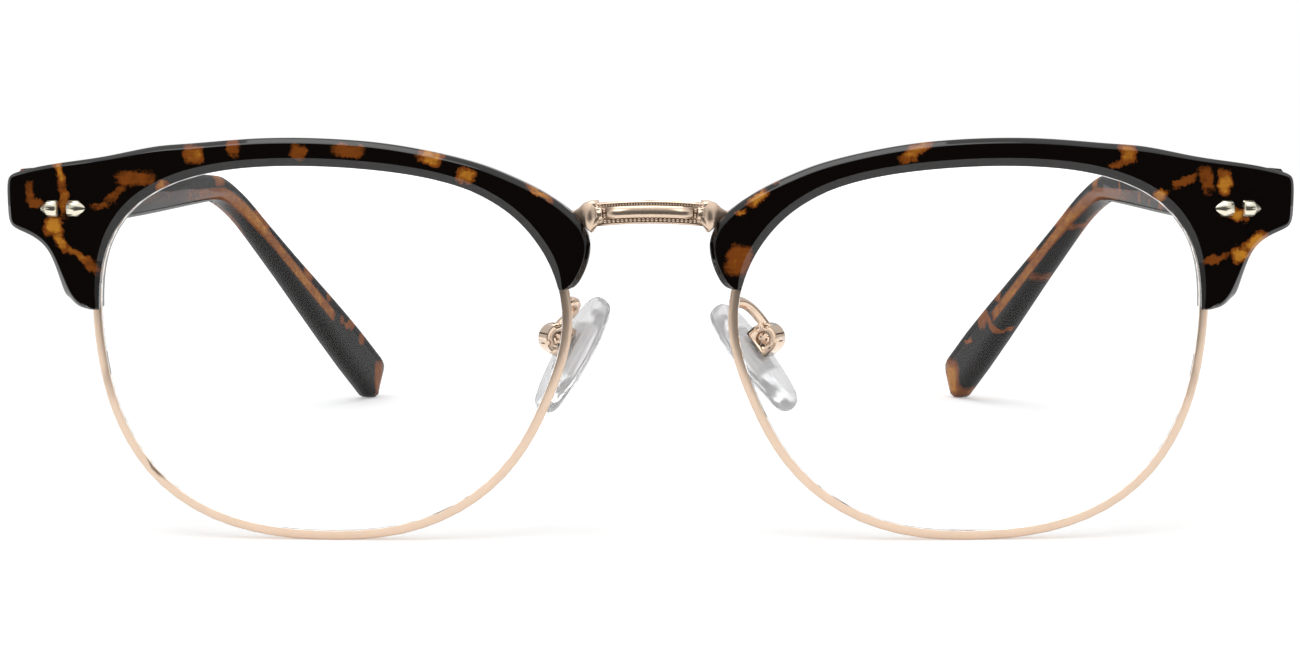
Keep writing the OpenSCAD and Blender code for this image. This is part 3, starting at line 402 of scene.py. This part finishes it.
def temple_plastic(side):
    """Tortoise plastic with the core wire glowing through as a band that stops short of the tip."""
    tree, shader, inmm = start_material("tortoise_temple_" + side)
    fleck_at = wire(tree, "ShaderNodeMapping", {"Vector": inmm, "Scale": (0.5, 0.55, 1.0)}).outputs[0]
    fleck = noise(tree, fleck_at, scale=MM / sizes().amber_size, detail=3.0, roughness=0.55,
                  distortion=0.4)[0]
    amber = ramp(tree, fleck, start=0.60, end=0.68, high=0.6)
    places = RIGHT_TEMPLE_AMBER if side == "right" else LEFT_TEMPLE_AMBER
    for y, z, long, high, strength in places:
        mask = use_group(tree, "Amber Place", {
            "Vector": inmm, "Middle": (0, y, z), "Reach": (THROUGH_TEMPLES, long, high),
            "Turn": 0.0, "Strength": strength})["Mask"]
        amber = calc(tree, "MAXIMUM", mask, amber)
    mapped = wire(tree, "ShaderNodeUVMap", uv_map="Along").outputs[0]
    along = wire(tree, "ShaderNodeSeparateXYZ", {0: mapped}).outputs
    off = calc(tree, "ABSOLUTE", calc(tree, "ADD", along["Y"], CORE_BELOW))
    band = ramp(tree, off, CORE_FULL, CORE_EDGE, low=1.0, high=0.0)
    stops = ramp(tree, along["X"], *CORE_STOPS, low=1.0, high=0.0, smooth=False)
    begins = ramp(tree, along["X"], *CORE_BEGINS, low=0.25, smooth=False)
    core = calc(tree, "MULTIPLY", calc(tree, "MULTIPLY", band, stops), begins)
    glow = calc(tree, "MULTIPLY", core, calc(tree, "MULTIPLY_ADD", fleck, 0.5, 0.5))
    finish_plastic(tree, shader, inmm, calc(tree, "MAXIMUM", amber, glow), gloss=0.38)


def metal(name, colour, base, spread, metallic, bump=0.0):
    tree, shader, inmm = start_material(name)
    marks = use_group(tree, "Handling Marks", {"Vector": inmm, "Fineness": 1.0, "Base": base,
                      "Spread": spread})
    dull = noise(tree, inmm, scale=0.6, detail=3.0)[0]
    mottled = blend_colours(tree, dull, shaded(colour, 0.9), tuple(colour))
    # Painted shade darkens the recesses, as between the beads of the bridge
    open_to_light = wire(tree, "ShaderNodeAmbientOcclusion", {"Distance": PAINTED_SHADE_REACH}, samples=8,
                only_local=True).outputs["AO"]
    unshaded = ramp(tree, open_to_light, start=0.35, end=0.95, smooth=False)
    painted_shade = shaded([part ** PAINTED_SHADE_POWER for part in colour[:3]], PAINTED_SHADE_SHARE)
    tree.links.new(blend_colours(tree, unshaded, painted_shade, mottled), shader["Base Color"])
    tree.links.new(marks["Roughness"], shader["Roughness"])
    shader["Metallic"].default_value = metallic
    if bump:
        lines = wire(tree, "ShaderNodeBump", {"Height": marks["Height"], "Strength": bump,
                     "Distance": SATIN_DEPTH})
        tree.links.new(lines.outputs[0], shader["Normal"])


def clear(name, colour, base, spread, ior, weight, reflects=1.0):
    tree, shader, inmm = start_material(name)
    marks = use_group(tree, "Handling Marks", {"Vector": inmm, "Fineness": 0.3, "Base": base,
                      "Spread": spread})
    tree.links.new(marks["Roughness"], shader["Roughness"])
    haze = noise(tree, inmm, scale=0.3, detail=2.0)[0]
    tree.links.new(blend_colours(tree, haze, shaded(colour, 0.97), tuple(colour)),
                   shader["Base Color"])
    shader["IOR"].default_value = ior
    shader["Transmission Weight"].default_value = weight
    shader["Specular Tint"].default_value = (reflects, reflects, reflects, 1)


# Piece helpers


def pick(piece):
    """Selects one piece alone and makes it the active one."""
    bpy.ops.object.select_all(action="DESELECT")
    piece.select_set(True)
    bpy.context.view_layer.objects.active = piece


def finish_node(node, material, sharp=32.0):
    """A joined and smooth-shaded copy of a CAD node, which stands in for it."""
    piece = bpy.data.objects.new(node + "_finish", FRAME["nodes"][node].data.copy())
    bpy.context.scene.collection.objects.link(piece)
    pick(piece)
    bpy.ops.object.mode_set(mode="EDIT")
    bpy.ops.mesh.select_all(action="SELECT")
    bpy.ops.mesh.remove_doubles(threshold=JOINED)
    bpy.ops.object.mode_set(mode="OBJECT")
    bpy.ops.object.shade_smooth_by_angle(angle=math.radians(sharp))
    piece.data.materials.clear()
    piece.data.materials.append(material)
    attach(piece, FRAME["nodes"][node]["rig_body"])
    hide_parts(node)
    return piece


def front_normal(at):
    """Direction that the curved front faces at a point."""
    u, v = abs(at.x) / MM - LENS_X, at.z / MM - LENS_Z
    level = min(max((u - LENS_SIDE) / END_OVER, 0), 1)
    slope = min(u, LENS_SIDE) / FRONT_R + FRONT_TURN
    return Vector((math.copysign(slope, at.x), -1, (1 - level) * v / FRONT_R)).normalized()


def follow_front(piece):
    """Shades the front and back faces by the curve they lie on, so that they gleam evenly."""
    mesh = piece.data
    normals = [Vector(corner.vector) for corner in mesh.corner_normals]
    for face in mesh.polygons:
        facing = face.normal.dot(front_normal(face.center))
        if abs(facing) > ON_FRONT:
            for loop in face.loop_indices:
                at = mesh.vertices[mesh.loops[loop].vertex_index].co
                normals[loop] = math.copysign(1, facing) * front_normal(at)
    mesh.normals_split_custom_set(normals)


def round_outline(piece, levels=2):
    """Curves the outline between its sections, and keeps the lines of the bevels and the groove."""
    pick(piece)
    bpy.ops.object.mode_set(mode="EDIT")
    bpy.ops.mesh.select_all(action="SELECT")
    bpy.ops.mesh.tris_convert_to_quads(face_threshold=QUAD_FLAT, shape_threshold=QUAD_SQUARE)
    bpy.ops.object.mode_set(mode="OBJECT")
    mesh = piece.data
    beside = {}
    for face in mesh.polygons:
        for key in face.edge_keys:
            beside.setdefault(key, []).append(face.normal)
    crease = mesh.attributes.new("crease_edge", "FLOAT", "EDGE")
    for edge in mesh.edges:
        one, other = (mesh.vertices[corner].co for corner in edge.vertices)
        turn = min(beside[edge.key][0].dot(normal) for normal in beside[edge.key])
        runs_along = abs((other - one).normalized().y) < CREASE_ACROSS
        crease.data[edge.index].value = float(turn < CREASE_TURN and runs_along)
    curved = piece.modifiers.new("Curved outline", "SUBSURF")
    curved.levels = curved.render_levels = levels
    bpy.ops.object.modifier_apply(modifier=curved.name)


def map_along(piece):
    """A UV map in millimetres: along the temple from the hinge, and up or down across it."""
    layer = piece.data.uv_layers.new(name="Along")
    bend_z = HINGE_Z - BEND_R
    for loop in piece.data.loops:
        at = piece.data.vertices[loop.vertex_index].co / MM
        if at.y < BEND_Y:
            along, across = at.y - HINGE_Y, at.z - HINGE_Z
        else:
            turn = math.atan2(at.y - BEND_Y, at.z - bend_z)
            if turn < DROP:
                along = BEND_Y - HINGE_Y + BEND_R * turn
                across = math.hypot(at.y - BEND_Y, at.z - bend_z) - BEND_R
            else:
                past = (at.y - BEND_Y) * math.cos(DROP) - (at.z - bend_z) * math.sin(DROP)
                along = BEND_Y - HINGE_Y + BEND_R * DROP + past
                across = (at.y - BEND_Y) * math.sin(DROP) + (at.z - bend_z) * math.cos(DROP) - BEND_R
        layer.data[loop.index].uv = (along, across)


def both(part):
    return [side + "_" + part for side in SIDES]


# Operators


class GLASSES_OT_finishes(bpy.types.Operator):
    """Make the plastic, metal, lens and silicone materials"""
    bl_idname = "glasses.finishes"
    bl_label = "Finishes"

    def execute(self, context):
        tint = colours()
        make_amber_place()
        make_plastic_depth()
        make_handling()
        for side in SIDES:
            brow_plastic(side)
            temple_plastic(side)
        metal("satin_rose_gold", tint.rose_gold, base=0.30, spread=0.12, metallic=0.8, bump=0.15)
        metal("polished_rose_gold", tint.rose_gold, base=0.09, spread=0.06, metallic=1.0)
        metal("brushed_rose_gold", tint.rose_gold, base=0.28, spread=0.08, metallic=0.9)
        metal("pale_gold", tint.pale_gold, base=0.08, spread=0.06, metallic=1.0)
        metal("core_steel", (0.62, 0.56, 0.48, 1), base=0.35, spread=0.1, metallic=1.0)
        clear("lens_plastic", (0.995, 1.0, 1.0, 1), base=0.0, spread=0.0, ior=1.5, weight=1.0,
              reflects=0.25)
        clear("clear_silicone", tint.silicone, base=0.10, spread=0.06, ior=1.41, weight=0.7)
        clear("pad_insert", (0.93, 0.94, 0.95, 1), base=0.08, spread=0.04, ior=1.49, weight=0.7)
        return {"FINISHED"}


class GLASSES_OT_brows(bpy.types.Operator):
    """Finish the two tortoise brows with polished edges"""
    bl_idname = "glasses.brows"
    bl_label = "Brows"

    def execute(self, context):
        for side in SIDES:
            piece = finish_node(side + "_brow", bpy.data.materials["tortoise_brow_" + side])
            round_outline(piece)
            bpy.ops.object.shade_smooth_by_angle(angle=math.radians(22))
            follow_front(piece)
        return {"FINISHED"}


class GLASSES_OT_temples(bpy.types.Operator):
    """Finish the temples and map the plastic along them"""
    bl_idname = "glasses.temples"
    bl_label = "Temples"

    def execute(self, context):
        for side in SIDES:
            plastic = bpy.data.materials["tortoise_temple_" + side]
            map_along(finish_node(side + "_temple", plastic, sharp=40.0))
        for node in both("temple_core"):
            finish_node(node, bpy.data.materials["core_steel"])
        return {"FINISHED"}


class GLASSES_OT_rims(bpy.types.Operator):
    """Finish the eyewires, the bridge and their screws"""
    bl_idname = "glasses.rims"
    bl_label = "Rims and bridge"

    def execute(self, context):
        for node in both("eyewire"):
            finish_node(node, bpy.data.materials["satin_rose_gold"], sharp=40.0)
        finish_node("bridge", bpy.data.materials["brushed_rose_gold"], sharp=35.0)
        for node in both("rim_screw") + both("brow_screw"):
            finish_node(node, bpy.data.materials["polished_rose_gold"])
        return {"FINISHED"}


class GLASSES_OT_lenses(bpy.types.Operator):
    """Finish the clear lenses"""
    bl_idname = "glasses.lenses"
    bl_label = "Lenses"

    def execute(self, context):
        for node in both("lens"):
            plastic = bpy.data.materials["lens_plastic"]
            follow_front(finish_node(node, plastic, sharp=10.0))
        return {"FINISHED"}


class GLASSES_OT_pads(bpy.types.Operator):
    """Model the silicone nose pads, and finish their inserts, arms and screws"""
    bl_idname = "glasses.pads"
    bl_label = "Nose pads"

    def execute(self, context):
        for node in both("nose_pad"):
            piece = finish_node(node, bpy.data.materials["clear_silicone"])
            pick(piece)
            remesh = piece.modifiers.new("Even skin", "REMESH")
            remesh.mode, remesh.voxel_size = "VOXEL", sizes().pad_grain
            bpy.ops.object.modifier_apply(modifier=remesh.name)
            soften = piece.modifiers.new("Moulded roundness", "SMOOTH")
            soften.factor, soften.iterations = 0.5, 8
            bpy.ops.object.modifier_apply(modifier=soften.name)
            bpy.ops.object.shade_smooth()
        for node in both("pad_core"):
            finish_node(node, bpy.data.materials["pad_insert"])
        for node in both("pad_arm") + both("pad_screw"):
            finish_node(node, bpy.data.materials["polished_rose_gold"], sharp=50.0)
        return {"FINISHED"}


class GLASSES_OT_hinges(bpy.types.Operator):
    """Finish the rivets, hinge leaves, hinge screws and pins"""
    bl_idname = "glasses.hinges"
    bl_label = "Hinges and rivets"

    def execute(self, context):
        for node in both("front_rivets"):
            finish_node(node, bpy.data.materials["pale_gold"])
        for part in ("front_hinge", "temple_hinge", "hinge_screw", "temple_pins"):
            for node in both(part):
                finish_node(node, bpy.data.materials["polished_rose_gold"])
        return {"FINISHED"}


class GLASSES_OT_stage(bpy.types.Operator):
    """Build the pale floor, the soft studio light and the camera"""
    bl_idname = "glasses.stage"
    bl_label = "Stage"

    def execute(self, context):
        bpy.ops.object.select_all(action="DESELECT")
        length = sizes().floor_size
        bpy.ops.mesh.primitive_plane_add(size=length, location=(0, length / 2 + FLOOR_FRONT, 0))
        floor = context.active_object
        floor.name = "floor"
        self.paint_floor()
        floor.data.materials.append(bpy.data.materials["floor_paper"])
        self.light_world()
        self.lamp("sky_lamp", (math.radians(12), math.radians(-10), 0), 1.0, math.radians(50))
        self.place_camera()
        return {"FINISHED"}

    def paint_floor(self):
        """Pale paper that is white where it is seen, in view, mirrored or through a lens."""
        tree, shader, _ = start_material("floor_paper")
        path = tree.nodes.new("ShaderNodeLightPath").outputs
        straight = calc(tree, "MAXIMUM", path["Is Camera Ray"], path["Is Glossy Ray"])
        seen = calc(tree, "MAXIMUM", straight, path["Is Transmission Ray"])
        shader["Base Color"].default_value = colours().floor
        shader["Roughness"].default_value = 0.9
        shader["Specular IOR Level"].default_value = 0.0
        shader["Emission Color"].default_value = (1, 1, 1, 1)
        tree.links.new(calc(tree, "MULTIPLY", seen, FLOOR_GLOW), shader["Emission Strength"])

    def light_world(self):
        world = bpy.context.scene.world or bpy.data.worlds.new("studio")
        bpy.context.scene.world = world
        world.use_nodes = True
        tree = world.node_tree
        tree.nodes.clear()
        way = wire(tree, "ShaderNodeSeparateXYZ",
                   {0: tree.nodes.new("ShaderNodeTexCoord").outputs["Generated"]}).outputs
        # Reflections see the pale room with its lights above, and the unlit side where the camera is
        ahead = ramp(tree, way["Y"], start=-0.72, end=-0.45, high=0.6)
        above = ramp(tree, way["Z"], start=0.30, end=0.60)
        room = calc(tree, "MAXIMUM", calc(tree, "MAXIMUM", ahead, above), UNLIT)
        path = tree.nodes.new("ShaderNodeLightPath").outputs
        plain = calc(tree, "MAXIMUM", path["Is Camera Ray"], path["Is Transmission Ray"])
        glossy = calc(tree, "MULTIPLY", path["Is Glossy Ray"], room)
        other = calc(tree, "SUBTRACT", 1.0, calc(tree, "MAXIMUM", plain, path["Is Glossy Ray"]))
        lit = calc(tree, "MULTIPLY", other, ROOM_LIGHT)
        total = calc(tree, "ADD", calc(tree, "ADD", plain, glossy), lit)
        back = wire(tree, "ShaderNodeBackground", {"Color": (1, 1, 1, 1), "Strength": total})
        out = tree.nodes.new("ShaderNodeOutputWorld")
        tree.links.new(back.outputs[0], out.inputs["Surface"])

    def lamp(self, name, turn, strength, spread):
        lamp = bpy.data.lights.new(name, "SUN")
        lamp.energy, lamp.angle = strength, spread
        piece = bpy.data.objects.new(name, lamp)
        piece.rotation_euler = turn
        bpy.context.scene.collection.objects.link(piece)

    def place_camera(self):
        camera = bpy.data.cameras.new("camera")
        camera.sensor_width, camera.sensor_fit = SENSOR_WIDTH, "HORIZONTAL"
        camera.lens = LENS_LENGTH
        camera.shift_x, camera.shift_y = SHIFT_X, SHIFT_Y
        camera.clip_start = 0.01
        piece = bpy.data.objects.new("camera", camera)
        piece.location = (CAMERA_X, -sizes().camera_back, sizes().camera_height)
        piece.rotation_euler = (math.radians(90) - LOOKS_DOWN, 0, 0)
        bpy.context.scene.collection.objects.link(piece)
        bpy.context.scene.camera = piece


class GLASSES_PT_panel(bpy.types.Panel):
    """Lists the pieces of the glasses, their sizes and their colours"""
    bl_idname = "GLASSES_PT_panel"
    bl_label = "Browline Glasses"
    bl_space_type = "VIEW_3D"
    bl_region_type = "UI"
    bl_category = "Glasses"

    def draw(self, context):
        for step in STEPS:
            self.layout.operator(step.bl_idname)
        for group in (context.scene.glasses_sizes, context.scene.glasses_colours):
            box = self.layout.box()
            for name in group.__annotations__:
                box.prop(group, name)


STEPS = (GLASSES_OT_finishes, GLASSES_OT_brows, GLASSES_OT_temples, GLASSES_OT_rims,
         GLASSES_OT_lenses, GLASSES_OT_pads, GLASSES_OT_hinges, GLASSES_OT_stage)
CLASSES = (GLASSES_Sizes, GLASSES_Colours) + STEPS + (GLASSES_PT_panel,)


def register():
    for cls in CLASSES:
        bpy.utils.register_class(cls)
    bpy.types.Scene.glasses_sizes = bpy.props.PointerProperty(type=GLASSES_Sizes)
    bpy.types.Scene.glasses_colours = bpy.props.PointerProperty(type=GLASSES_Colours)


def unregister():
    del bpy.types.Scene.glasses_sizes
    del bpy.types.Scene.glasses_colours
    for cls in reversed(CLASSES):
        bpy.utils.unregister_class(cls)


def main():
    register()
    bpy.context.scene.view_settings.view_transform = "Standard"
    bpy.ops.glasses.finishes()
    bpy.ops.glasses.brows()
    bpy.ops.glasses.temples()
    bpy.ops.glasses.rims()
    bpy.ops.glasses.lenses()
    bpy.ops.glasses.pads()
    bpy.ops.glasses.hinges()
    bpy.ops.glasses.stage()


if __name__ == "__main__":
    main()
